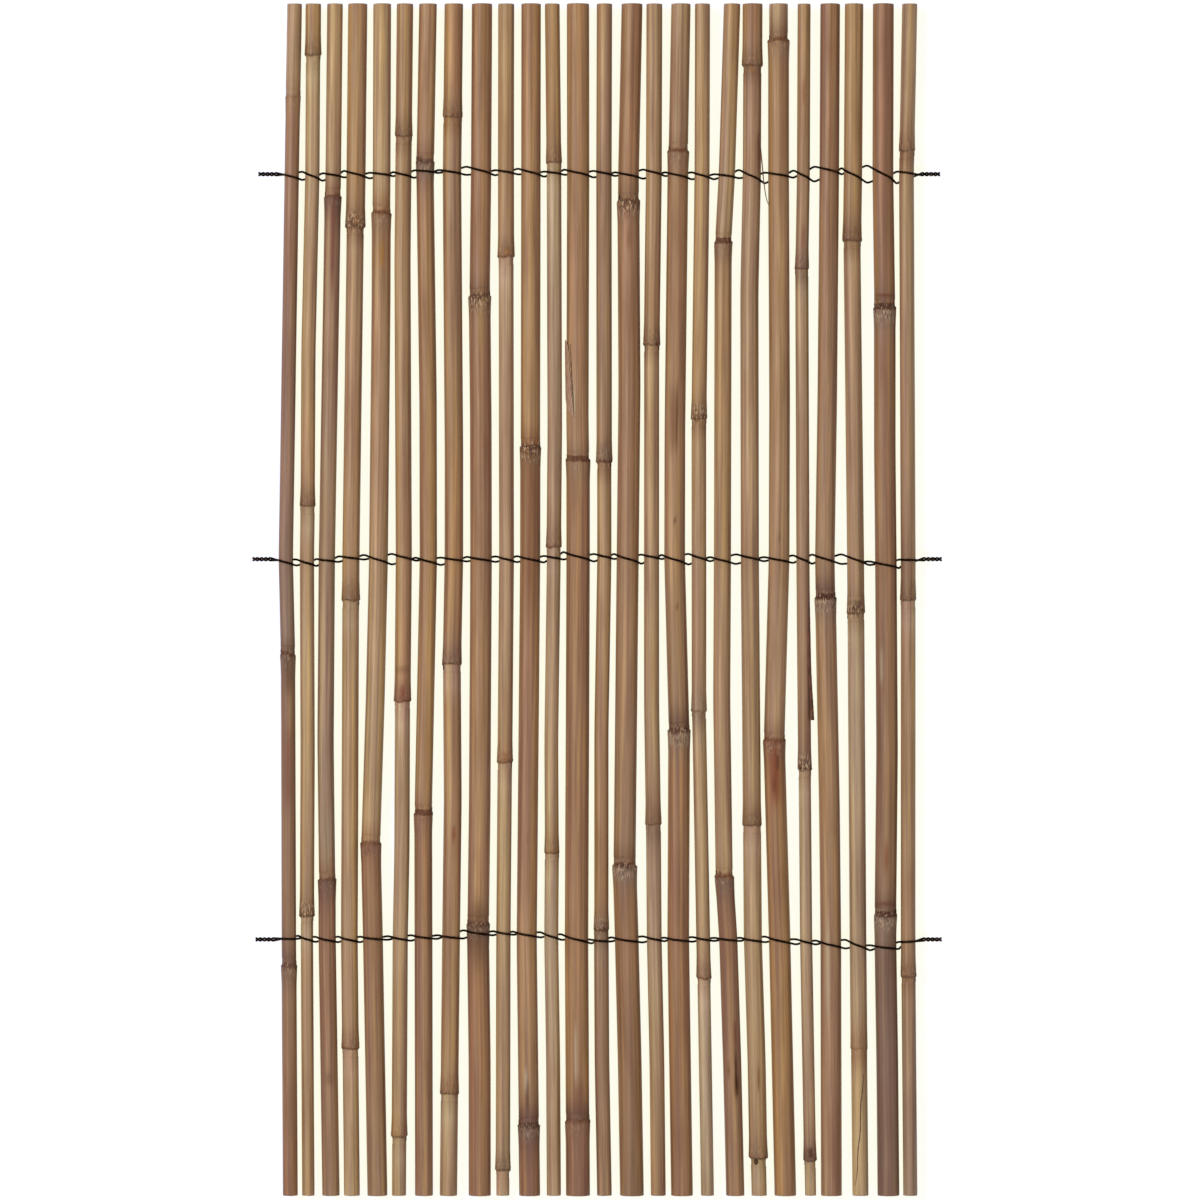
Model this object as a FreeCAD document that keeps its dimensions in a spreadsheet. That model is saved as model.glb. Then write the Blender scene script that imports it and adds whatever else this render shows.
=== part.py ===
import FreeCAD, Part
import math
import os

# A flat section of wired reed screening: hollow reed canes side by side, laced by rows of wire.
# The canes run along Y with their head at +Y, X goes across them and Z is up. The section lies
# on its back, so the lowest wire touches Z = 0, and the origin is under its middle.

doc = FreeCAD.newDocument("reed_screening")
sheet = doc.addObject("Spreadsheet::Sheet", "sizes")
sheet_rows = 0

# Sizes that all canes and wires share, in millimetres
SHARED = {
    "head_margin": 71.5,
    "row_pitch_1": 161.5,
    "row_pitch_2": 159.5,
    "foot_margin": 107.5,
    "cane_wall": 1.2,
    "diaphragm": 1.5,
    "node_swell": 0.3,
    "swell_to_butt": 3.0,
    "swell_to_tip": 1.2,
    "wire_dia": 0.9,
    "wire_clearance": 0.1,
    "bend_length": 1.5,
    "tail_lead": 3.0,
    "tail_pitch": 3.6,
    "tail_turns": 2,
    "tail_spare": 0.16,
}

# The stations at which the canes are placed: both cut ends and the wire rows
STATIONS = ("head", "row_1", "row_2", "row_3", "foot")
ROWS = ("row_1", "row_2", "row_3")
LENGTH = "(sizes.head_margin + sizes.row_pitch_1 + sizes.row_pitch_2 + sizes.foot_margin)"
STATION_Y = {
    "head": f"{LENGTH} / 2",
    "row_1": f"{LENGTH} / 2 - sizes.head_margin",
    "row_2": f"{LENGTH} / 2 - sizes.head_margin - sizes.row_pitch_1",
    "row_3": f"-{LENGTH} / 2 + sizes.foot_margin",
    "foot": f"-{LENGTH} / 2",
}

# How far the first cane leans over from its place at the middle wire row
EDGE_LEAN = {"head": 3.7, "row_1": 2.5, "row_3": 1.3, "foot": 1.9}


# A node is where two internodes meet in a ring, and a bow is where a cane strays sideways between
# its nodes. Each is given by a station beside it, its height above that station, and how far it
# lies to the right of the straight line between the stations around it.
def node(station, height, shift=0):
    return {"is_node": True, "station": station, "height": height, "shift": shift}


def bow(station, height, shift):
    return {"is_node": False, "station": station, "height": height, "shift": shift}


# One cane as cut and laid, from the head down: the clear gap to the cane on its left at each
# station, the diameter of each internode, and its nodes and bows
def cane(gaps, diameters, *places):
    return {"gaps": gaps, "diameters": diameters, "places": places}


CANES = (
    cane((), (6.2, 6.1, 6.1, 6.3), node("row_1", 32.5), node("row_2", -40, 0.6), node("row_3", -11)),
    cane((1.5, 2.6, 2.8, 1.9, 1.8), (6.5, 6.0, 6.0, 5.2), node("head", -21.5), bow("row_2", 88, -0.6),
         node("row_2", 22.5), bow("row_3", 79, 0.3), node("row_3", 10)),
    cane((2.6, 2.5, 1.95, 2.3, 3.3), (6.5, 6.8, 7.2), node("row_1", -9.5), bow("row_3", 83, -0.6),
         node("row_3", 25)),
    cane((2.3, 2.3, 3.1, 2.2, 1.9), (8.0, 7.2, 7.0, 6.6), node("row_1", -22), node("row_2", -17),
         node("row_3", -45.5)),
    cane((2.5, 3.0, 3.95, 2.2, 3.2), (7.5, 8.0, 8.4), node("row_1", -16.5), bow("row_1", -53, 0.2),
         bow("row_2", -59, -0.5), node("row_3", 40.5, -1.5)),
    cane((2.3, 1.9, 3.2, 4.0, 1.8), (7.0, 6.9, 6.5, 6.0), node("row_1", 16), bow("row_1", -36, -0.4),
         node("row_2", -59.5), bow("row_3", 38, 0.35), node("foot", 25)),
    cane((2.4, 1.95, 3.15, 2.7, 3.7), (7.5, 7.4, 7.6), node("row_1", 5), bow("row_2", 67, 0.45),
         node("row_3", 53, -0.8)),
    cane((3.2, 3.7, 3.1, 4.0, 2.8), (7.8, 7.8, 7.5, 7.3), node("row_1", 24), bow("row_2", 46, 0.25),
         node("row_2", -44, -0.5), bow("row_3", 58, 0.3), node("foot", 43)),
    cane((3.65, 4.05, 3.0, 3.0, 4.9), (8.5, 9.0, 9.2), node("row_1", -51.5, -0.6), bow("row_2", 58, -0.1),
         bow("row_3", 58, 0.25), node("row_3", 6.5), bow("row_3", -51, 0.3)),
    cane((2.55, 2.85, 3.1, 3.0, 2.4), (6.7, 6.2, 6.0, 5.4), node("row_1", -34.5), node("row_3", 74.5),
         node("foot", 11)),
    cane((3.0, 3.0, 2.55, 2.55, 4.15), (8.2, 8.5, 8.8), node("row_2", 47), node("foot", 29.5)),
    cane((1.6, 2.5, 2.7, 3.05, 2.75), (6.3, 6.2, 5.9, 6.0), node("row_1", 5), bow("row_2", 54, 0.4),
         node("row_2", 5), bow("row_3", 83, -0.55), node("row_3", 36.5), bow("row_3", -51, 0.25)),
    cane((2.9, 2.3, 2.25, 2.6, 2.0), (9.5, 10.0, 10.2), bow("row_2", 58, -0.3), node("row_2", 41.5),
         node("foot", 31.5)),
    cane((3.1, 2.8, 3.0, 2.3, 2.9), (6.5, 6.0, 6.2), node("row_2", 41), bow("row_3", 88, -0.65),
         node("row_3", 4), bow("row_3", -51, -0.35)),
    cane((4.0, 2.7, 2.2, 2.6, 3.5), (8.7, 9.2, 9.9), node("row_1", -11.5), bow("row_2", 71, 0.6),
         node("row_3", 31, -1.0), bow("row_3", -51, 0.2)),
    cane((1.7, 3.0, 2.25, 3.5, 3.0), (6.6, 6.3, 6.2), node("row_1", -71.5, -0.5), bow("row_2", -63, -0.4),
         node("row_3", 48.5), bow("row_3", -51, 0.3)),
    cane((3.8, 2.4, 2.2, 2.4, 2.3), (8.1, 8.7, 9.1), node("row_1", 9.5), bow("row_2", 54, -0.35),
         node("row_2", -72, 1.2)),
    cane((1.8, 2.6, 2.75, 3.0, 3.4), (6.4, 6.2, 5.9, 5.5), node("row_2", 59, -0.5),
         node("row_2", -63.5, -0.7), node("row_3", -16)),
    cane((5.7, 3.7, 3.1, 3.65, 5.0), (7.0, 7.3, 7.8), node("row_1", -28.5, -1.2), bow("row_2", -59, -1.2),
         node("row_3", 26.5, -1.3), bow("row_3", -51, 0.2)),
    cane((0.9, 3.15, 4.0, 2.6, 2.95), (8.4, 7.7, 7.65, 6.4), node("head", -26), bow("row_1", -49, -0.8),
         node("row_3", 48), bow("row_3", -51, 0.3), node("foot", 16)),
    cane((2.8, 3.0, 4.05, 2.9, 3.25), (7.8, 8.7, 9.0), node("head", -15.5), bow("row_2", 67, 0.3),
         node("row_2", -76, -2.2)),
    cane((4.1, 3.35, 2.9, 4.05, 3.8), (5.4, 5.5, 5.1, 4.6), node("row_1", -39.5, -0.6), node("row_3", 71.5),
         node("foot", 15)),
    cane((4.15, 4.05, 2.35, 3.45, 2.05), (8.2, 8.7), bow("row_2", 67, 0.25), node("row_2", -16),
         bow("row_3", 58, 0.3)),
    cane((2.05, 1.95, 5.2, 3.5, 4.45), (7.8, 7.2, 7.1, 6.8), node("row_1", -28, -0.6),
         node("row_2", -22.5), node("row_3", -45.5)),
    cane((3.9, 4.2, 4.5, 3.3, 3.7), (8.9, 9.2, 9.3), node("row_1", -56, 0.35), bow("row_2", 46, -0.1),
         bow("row_3", 79, 0.6), node("row_3", 10.5), bow("row_3", -51, 0.15)),
    cane((3.4, 2.3, 1.6, 1.8, 1.5), (6.4, 6.3, 6.2, 6.0), node("row_1", 10), node("row_2", -17),
         node("row_3", -15.5)),
)

# The clear eye left between the two strands of a row in each gap, from the left
EYES = {
    "row_1": (2.5, 2.2, 1.8, 1.4, 0.8, 2.2, 0.3, 2.5, 1.2, 1.4, 1.2, 1.2, 1.8, 0.6, 2.9, 0.6, 2.0, 1.2,
              2.5, 3.5, 2.0, 5.2, 1.6, 6.2, 3.9),
    "row_2": (1.6, 2.0, 1.4, 1.0, 3.5, 0.3, 2.2, 1.0, 1.4, 1.6, 1.8, 2.2, 2.2, 1.2, 2.9, 0.8, 3.5, 0.8,
              3.1, 0.8, 2.2, 2.9, 3.1, 0.6, 2.7),
    "row_3": (0.3, 1.2, 1.4, 1.4, 0.6, 1.4, 0.6, 2.5, 0.8, 0.4, 1.2, 1.4, 0.6, 0.8, 1.6, 0.6, 1.0, 0.4,
              0.4, 1.4, 1.2, 0.7, 2.7, 1.2, 2.0),
}

# How far a row strays above its own line, in the gaps where that shows
STRAYS = {
    "row_1": {1: -0.7, 2: -1.2, 4: -0.6, 7: 1.1, 8: 1.4, 9: 0.6, 10: 1.1, 12: 0.8, 17: -0.7, 18: -1.1,
              20: -1.6, 23: 1.2, 25: -1.4},
    "row_2": {1: -1.4, 2: -1.4, 4: 0.8, 7: -0.9, 12: 1.4, 13: 0.6, 14: 1.1, 16: 0.9, 24: -1.7, 25: -2.0},
    "row_3": {1: 0.9, 5: 0.6, 6: 0.6, 7: 1.0, 8: 2.1, 9: 2.6, 10: 2.6, 11: 1.9, 12: 1.0, 13: -0.9,
              21: -1.0, 22: -1.3, 23: -2.0, 24: -3.5, 25: -2.5},
}

# How finely a twisted tail is drawn, how tightly a strand's bends follow the lap around a cane, and
# the share of a straight run that the bend at its end may take up
TAIL_STEPS_PER_TURN = 8
WRAP_TIGHTNESS = 0.95
RUN_SHARE = 0.45


# Puts a size in the next cell of the sheet and gives back the name that expressions know it by
def size(alias, value):
    global sheet_rows
    sheet_rows += 1
    cell = f"A{sheet_rows}"
    sheet.set(cell, str(value))
    sheet.setAlias(cell, alias)
    return f"sizes.{alias}"


def value(alias):
    return float(sheet.get(alias))


def millimetres(expression):
    return f"({expression}) * 1 mm"


def add_circle(name, radius, x, y):
    circle = doc.addObject("Part::Circle", name)
    circle.Placement.Rotation = FreeCAD.Rotation(FreeCAD.Vector(1, 0, 0), 90)
    circle.setExpression("Radius", millimetres(radius))
    circle.setExpression("Placement.Base.x", x)
    circle.setExpression("Placement.Base.y", y)
    return circle


def add_loft(name, sections):
    loft = doc.addObject("Part::Loft", name)
    loft.Sections = sections
    loft.Solid = True
    loft.Ruled = True
    return loft


def is_above(place, station):
    if place["station"] == station:
        return place["height"] > 0
    return STATIONS.index(place["station"]) < STATIONS.index(station)


def stations_around(place):
    above = [station for station in STATIONS if not is_above(place, station)][-1]
    below = [station for station in STATIONS if is_above(place, station)][0]
    return above, below


# A circle at each station, beside the same station's circle of the cane before
def add_station_circles(name, spec, before):
    circles = {}
    for position, station in enumerate(STATIONS):
        nodes_above = sum(1 for place in spec["places"] if place["is_node"] and is_above(place, station))
        radius = f"sizes.{name}_dia_{nodes_above + 1} / 2"
        if before:
            gap = size(f"{name}_gap_{station}", spec["gaps"][position])
            left = before[station].Name
            x = f"{left}.Placement.Base.x + {left}.Radius + {millimetres(f'{gap} + {radius}')}"
        elif station in EDGE_LEAN:
            x = millimetres(size(f"edge_lean_{station}", EDGE_LEAN[station]))
        else:
            x = "0 mm"
        circles[station] = add_circle(f"{name}_{station}", radius, x, millimetres(STATION_Y[station]))
    return circles


# The circle at a node or a bow, beside the straight line between the stations around it
def add_place_circle(name, place, radius, stations):
    above, below = (stations[station].Name for station in stations_around(place))
    height = size(f"{name}_height", place["height"])
    y = millimetres(f"{STATION_Y[place['station']]} + {height}")
    share = f"({above}.Placement.Base.y - {y}) / ({above}.Placement.Base.y - {below}.Placement.Base.y)"
    x = f"{above}.Placement.Base.x + ({below}.Placement.Base.x - {above}.Placement.Base.x) * {share}"
    if place["shift"]:
        x += f" + {millimetres(size(f'{name}_shift', place['shift']))}"
    return add_circle(name, radius, x, y)


# All circles along a cane's middle line from the head down, each with whether it is a node's
def add_line_of_circles(name, spec, stations):
    line = []
    nodes = 0
    for station in STATIONS:
        for number, place in enumerate(spec["places"], 1):
            if stations_around(place)[1] != station:
                continue
            upper = f"sizes.{name}_dia_{nodes + 1}"
            if place["is_node"]:
                nodes += 1
                mean_dia = f"({upper} + sizes.{name}_dia_{nodes + 1}) / 2"
                ring = f"{mean_dia} / 2 + sizes.node_swell"
                circle = add_place_circle(f"{name}_node_{nodes}", place, ring, stations)
            else:
                circle = add_place_circle(f"{name}_bow_{number}", place, f"{upper} / 2", stations)
            line.append((circle, place["is_node"]))
        line.append((stations[station], False))
    return line


# The circle where the swelling of a node runs out, on the line from its ring to the next circle
def add_foot_of_ring(ring, towards, diameter, side, reach):
    y = f"{ring.Name}.Placement.Base.y + {millimetres(reach)}"
    rise = f"({towards.Name}.Placement.Base.y - {ring.Name}.Placement.Base.y)"
    run = f"({towards.Name}.Placement.Base.x - {ring.Name}.Placement.Base.x)"
    x = f"{ring.Name}.Placement.Base.x + {run} * {millimetres(reach)} / {rise}"
    return add_circle(f"{ring.Name}_{side}", f"{diameter} / 2", x, y)


# The hollow of one internode, from one diaphragm or open end to the next
def add_cavity(name, number, top, inner, bottom):
    bore = f"sizes.{name}_dia_{number} / 2 - sizes.cane_wall"
    circles = []
    for position, (anchor, shift) in enumerate([top] + [(circle, "0") for circle in inner] + [bottom]):
        y = f"{anchor.Name}.Placement.Base.y + {millimetres(shift)}"
        x = f"{anchor.Name}.Placement.Base.x"
        circles.append(add_circle(f"{name}_bore_{number}_{position}", bore, x, y))
    return add_loft(f"{name}_cavity_{number}", circles)


# Odd canes lie with their tip at the head and even canes with their butt there. The swelling at a
# node runs out slowly towards the butt and steeply towards the tip.
def add_cane(number, spec, before):
    name = f"cane_{number:02d}"
    for internode, diameter in enumerate(spec["diameters"], 1):
        size(f"{name}_dia_{internode}", diameter)
    stations = add_station_circles(name, spec, before)
    line = add_line_of_circles(name, spec, stations)
    tip_at_head = number % 2 == 1
    reach_up = "sizes.swell_to_tip" if tip_at_head else "sizes.swell_to_butt"
    reach_down = "-sizes.swell_to_butt" if tip_at_head else "-sizes.swell_to_tip"
    sections = []
    cavities = []
    top, inner = (line[0][0], "sizes.cane_wall"), []
    for position, (circle, is_node) in enumerate(line):
        if not is_node:
            sections.append(circle)
            if 0 < position < len(line) - 1:
                inner.append(circle)
            continue
        internode = len(cavities) + 1
        upper, lower = f"sizes.{name}_dia_{internode}", f"sizes.{name}_dia_{internode + 1}"
        above, below = line[position - 1][0], line[position + 1][0]
        sections.append(add_foot_of_ring(circle, above, upper, "top", reach_up))
        sections.append(circle)
        sections.append(add_foot_of_ring(circle, below, lower, "bottom", reach_down))
        cavities.append(add_cavity(name, internode, top, inner, (circle, "sizes.diaphragm / 2")))
        top, inner = (circle, "-sizes.diaphragm / 2"), []
    cavities.append(add_cavity(name, len(cavities) + 1, top, inner, (line[-1][0], "-sizes.cane_wall")))
    hollow = doc.addObject("Part::Compound", f"{name}_hollow")
    hollow.Links = cavities
    body = doc.addObject("Part::Cut", f"{name}_body")
    body.Base = add_loft(f"{name}_stem", sections)
    body.Tool = hollow
    body.Label = name
    return body, stations, sections


# Where a cane's middle is at a height, between the circles around that height
def centre_at(sections, y):
    places = [section.Placement.Base for section in sections]
    for above, below in zip(places, places[1:]):
        if above.y >= y >= below.y:
            return above.x + (below.x - above.x) * (above.y - y) / (above.y - below.y)
    raise ValueError("the height is past the end of the cane")


# The two corners of one strand's lap over the front (side 1) or the back (side -1) of a cane, which
# runs between two crossings of the canes' middle plane around a circle that clears the cane
def lap_corners(centre, radius, before, after, side):
    left = math.acos(radius / (centre - before.x))
    right = math.acos(radius / (after.x - centre))
    quarter = (math.pi - left - right) / 4
    reach = radius / math.cos(quarter)
    corners = []
    for angle in (left + quarter, math.pi - right - quarter):
        corners.append(FreeCAD.Vector(centre - reach * math.cos(angle), 0, side * reach * math.sin(angle)))
    flat_before = FreeCAD.Vector(before.x, 0, 0)
    flat_after = FreeCAD.Vector(after.x, 0, 0)
    lengths = [(b - a).Length for a, b in zip([flat_before] + corners, corners + [flat_after])]
    for position, corner in enumerate(corners, 1):
        corner.y = before.y + (after.y - before.y) * sum(lengths[:position]) / sum(lengths)
    return corners


def laps_of(crossings, laps, middles, front_parity):
    return [lap_corners(middles[position], laps[position], crossings[position], crossings[position + 1],
                        1 if (position + 1) % 2 == front_parity else -1)
            for position in range(len(laps))]


# How far from a crossing its bend starts: as far as the runs beside it and the bend length allow
def crossing_cut(position, crossings, laps, middles):
    straight = [math.sqrt((crossings[position].x - middles[side]) ** 2 - laps[side] ** 2)
                for side in (position - 1, position)]
    return min([2 * RUN_SHARE * run for run in straight] + [value("bend_length")])


# How much farther out each crossing's corner is set, because its bend passes inside the corner
def crossing_insets(crossings, laps, middles, front_parity):
    corners = laps_of(crossings, laps, middles, front_parity)
    for position in range(1, len(crossings) - 1):
        before, corner, after = corners[position - 1][1], crossings[position], corners[position][0]
        turn = (corner - before).getAngle(after - corner)
        inset = crossing_cut(position, crossings, laps, middles) * math.tan(turn / 4)
        yield corner, inset if (position + 1) % 2 == front_parity else -inset


def stray_of(row, gap):
    return value(f"{row}_stray_{gap}") if gap in STRAYS[row] else 0


# One strand of a row: it laps the front of every second cane and the back of the others, and
# crosses the canes' middle plane high on its way to the front and low on its way to the back
def strand_crossings(row, front_parity, canes):
    row_y = canes[0][0][row].Placement.Base.y
    laps = [stations[row].Radius.Value + value("wire_clearance") + value("wire_dia") / 2
            for stations, _ in canes]
    heights = [row_y] + [row_y + stray_of(row, gap) for gap in range(1, len(canes))] + [row_y]
    middles = [centre_at(sections, (heights[position] + heights[position + 1]) / 2)
               for position, (_, sections) in enumerate(canes)]
    twist = value("wire_dia") + value("tail_spare")
    eyes = [value(f"{row}_eye_{gap}") for gap in range(1, len(canes))]
    opens = [twist] + [value("wire_dia") + eye for eye in eyes] + [twist]
    across = [middles[0] - laps[0] - value("tail_lead")]
    for position in range(1, len(canes)):
        share = laps[position - 1] / (laps[position - 1] + laps[position])
        across.append(middles[position - 1] + (middles[position] - middles[position - 1]) * share)
    across.append(middles[-1] + laps[-1] + value("tail_lead"))
    crossings = []
    for position, x in enumerate(across):
        to_front = (position + 1) % 2 == front_parity
        shift = opens[position] / 2 if to_front else -opens[position] / 2
        crossings.append(FreeCAD.Vector(x, heights[position] + shift, 0))
    for crossing, inset in crossing_insets(crossings, laps, middles, front_parity):
        crossing.y += inset
    return crossings, laps, middles


# The points of a twisted tail, outwards from its root, where the strand is at the given phase
def tail_points(root, row_y, phase, direction):
    radius = (value("wire_dia") + value("tail_spare")) / 2
    points = []
    for step in range(1, int(value("tail_turns") * TAIL_STEPS_PER_TURN) + 1):
        angle = phase - direction * step * 2 * math.pi / TAIL_STEPS_PER_TURN
        x = root.x + direction * step * value("tail_pitch") / TAIL_STEPS_PER_TURN
        points.append(FreeCAD.Vector(x, row_y + radius * math.sin(angle), radius * math.cos(angle)))
    return points


# A corner of a strand's path, rounded by an arc of a radius, or by one that starts at a distance
# from the corner
def corner_of_radius(point, radius):
    return {"point": point, "radius": radius}


def corner_of_cut(point, cut):
    return {"point": point, "cut": cut}


def strand_corners(row, front_parity, canes):
    row_y = canes[0][0][row].Placement.Base.y
    crossings, laps, middles = strand_crossings(row, front_parity, canes)
    tail_cut = RUN_SHARE * value("tail_pitch") / TAIL_STEPS_PER_TURN
    phase = math.pi / 2 if front_parity == 1 else -math.pi / 2
    tail = tail_points(crossings[0], row_y, phase, -1)
    corners = [corner_of_cut(point, tail_cut) for point in reversed(tail)]
    corners.append(corner_of_cut(crossings[0], tail_cut))
    for position, lap in enumerate(laps_of(crossings, laps, middles, front_parity)):
        corners += [corner_of_radius(point, WRAP_TIGHTNESS * laps[position]) for point in lap]
        if position < len(laps) - 1:
            cut = crossing_cut(position + 1, crossings, laps, middles)
            corners.append(corner_of_cut(crossings[position + 1], cut))
    corners.append(corner_of_cut(crossings[-1], tail_cut))
    phase = math.pi / 2 if (len(laps) + 1) % 2 == front_parity else -math.pi / 2
    tail = tail_points(crossings[-1], row_y, phase, 1)
    corners += [corner_of_cut(point, tail_cut) for point in tail]
    return corners


# A path of straight runs joined by tangent arcs
def rounded_path(corners):
    points = [corner["point"] for corner in corners]
    edges = []
    start = points[0]
    for before, corner, after in zip(points, corners[1:-1], points[2:]):
        point = corner["point"]
        into = (point - before).normalize()
        out = (after - point).normalize()
        half_turn = into.getAngle(out) / 2
        radius = corner["radius"] if "radius" in corner else corner["cut"] / math.tan(half_turn)
        cut = radius * math.tan(half_turn)
        first, last = point - into * cut, point + out * cut
        middle = point + (out - into).normalize() * radius * (1 / math.cos(half_turn) - 1)
        edges.append(Part.LineSegment(start, first).toShape())
        edges.append(Part.Arc(first, middle, last).toShape())
        start = last
    edges.append(Part.LineSegment(start, points[-1]).toShape())
    return Part.Wire(edges)


def add_strand(row, letter, front_parity, canes):
    name = f"{row}_wire_{letter}"
    path = doc.addObject("Part::Feature", f"{name}_path")
    path.Shape = rounded_path(strand_corners(row, front_parity, canes))
    first, second = (vertex.Point for vertex in path.Shape.Edges[0].Vertexes)
    profile = doc.addObject("Part::Circle", f"{name}_profile")
    profile.setExpression("Radius", millimetres("sizes.wire_dia / 2"))
    profile.Placement = FreeCAD.Placement(first, FreeCAD.Rotation(FreeCAD.Vector(0, 0, 1), second - first))
    wire = doc.addObject("Part::Sweep", f"{name}_body")
    wire.Sections = [profile]
    wire.Spine = (path, [f"Edge{number}" for number in range(1, len(path.Shape.Edges) + 1)])
    wire.Solid = True
    wire.Label = name
    return wire, path


# Sets every piece down on Z = 0 and centres the section over the origin
def set_down(pieces):
    box = FreeCAD.BoundBox()
    for piece in pieces:
        box.add(piece.Shape.optimalBoundingBox(False, False))
    for piece in pieces:
        piece.Placement.Base = FreeCAD.Vector(-box.Center.x, 0, -box.ZMin)


def check(pieces):
    for item in doc.Objects:
        if "Invalid" in item.State or "Error" in item.State:
            raise RuntimeError(f"{item.Name} failed: {item.State}")
    for piece in pieces:
        if piece.Shape.isNull() or not piece.Shape.isValid() or len(piece.Shape.Solids) != 1:
            raise RuntimeError(f"{piece.Label} isn't one valid solid")


for alias, number in SHARED.items():
    size(alias, number)
for row in ROWS:
    for gap, eye in enumerate(EYES[row], 1):
        size(f"{row}_eye_{gap}", eye)
    for gap, stray in STRAYS[row].items():
        size(f"{row}_stray_{gap}", stray)

pieces = []
canes = []
for number, spec in enumerate(CANES, 1):
    body, stations, sections = add_cane(number, spec, canes[-1][0] if canes else None)
    pieces.append(body)
    canes.append((stations, sections))
doc.recompute()

for row in ROWS:
    for letter, front_parity in (("a", 1), ("b", 0)):
        wire, path = add_strand(row, letter, front_parity, canes)
        pieces.append(wire)
        doc.recompute()
        expected = math.pi * (value("wire_dia") / 2) ** 2 * path.Shape.Length
        print(wire.Label, "volume", round(wire.Shape.Volume, 2), "of", round(expected, 2), "expected")

set_down(pieces)
check(pieces)
os.makedirs("parts", exist_ok=True)
for piece in pieces:
    piece.Shape.exportStep(f"parts/{piece.Label}.step")
print("pieces", len(pieces))
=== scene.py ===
import math
from functools import partial

import bpy
import numpy as np
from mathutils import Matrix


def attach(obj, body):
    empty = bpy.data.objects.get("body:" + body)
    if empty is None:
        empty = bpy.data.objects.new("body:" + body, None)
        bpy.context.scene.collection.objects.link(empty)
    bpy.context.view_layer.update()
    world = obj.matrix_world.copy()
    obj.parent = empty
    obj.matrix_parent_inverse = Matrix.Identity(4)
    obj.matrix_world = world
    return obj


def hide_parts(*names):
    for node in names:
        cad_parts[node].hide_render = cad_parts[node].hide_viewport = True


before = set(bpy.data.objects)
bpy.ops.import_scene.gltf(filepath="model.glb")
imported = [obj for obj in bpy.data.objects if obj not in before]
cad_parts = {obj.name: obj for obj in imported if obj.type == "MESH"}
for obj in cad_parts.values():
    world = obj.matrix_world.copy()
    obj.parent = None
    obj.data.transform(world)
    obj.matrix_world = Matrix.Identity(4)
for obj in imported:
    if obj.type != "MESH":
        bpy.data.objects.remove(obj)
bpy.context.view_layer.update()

# Wired reed screening, a flat section of it. The canes lie along Y, X goes across them, Z is up.
print("frame loaded:", len(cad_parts), "nodes")

millimetre = 0.001
fullTurn = 2 * math.pi


def linearColour(code):    # an sRGB hex colour as the linear one that a shader takes
    parts = [int(code[start:start + 2], 16) / 255 for start in (0, 2, 4)]
    return tuple(part / 12.92 if part <= 0.04045 else ((part + 0.055) / 1.055) ** 2.4
                 for part in parts) + (1,)


# Adds a node with its settings and its inputs, by place or by name: a node, a socket or a value. A kind that
# names no family is a shader node.
def addNode(tree, kind, inputs=(), **settings):
    node = tree.nodes.new(kind if "Node" in kind else "ShaderNode" + kind)
    for name, value in settings.items():
        setattr(node, name, value)
    for name, value in (inputs.items() if isinstance(inputs, dict) else enumerate(inputs)):
        if isinstance(value, bpy.types.Node):
            value = next(output for output in value.outputs if output.enabled)
        if isinstance(value, bpy.types.NodeSocket):
            tree.links.new(value, node.inputs[name])
        else:
            node.inputs[name].default_value = value
    return node


def setStops(ramp, stops):    # gives a colour ramp its stops: (place, hex colour)
    elements = ramp.color_ramp.elements
    while len(elements) < len(stops):
        elements.new(1.0)
    for element, (place, code) in zip(elements, stops):
        element.position = place
        element.color = linearColour(code)
    return ramp


def newMaterial(name):    # an empty material, and what adds a node to it
    material = bpy.data.materials.new(name)
    material.use_nodes = True
    material.node_tree.nodes.clear()
    return material, partial(addNode, material.node_tree)


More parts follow.
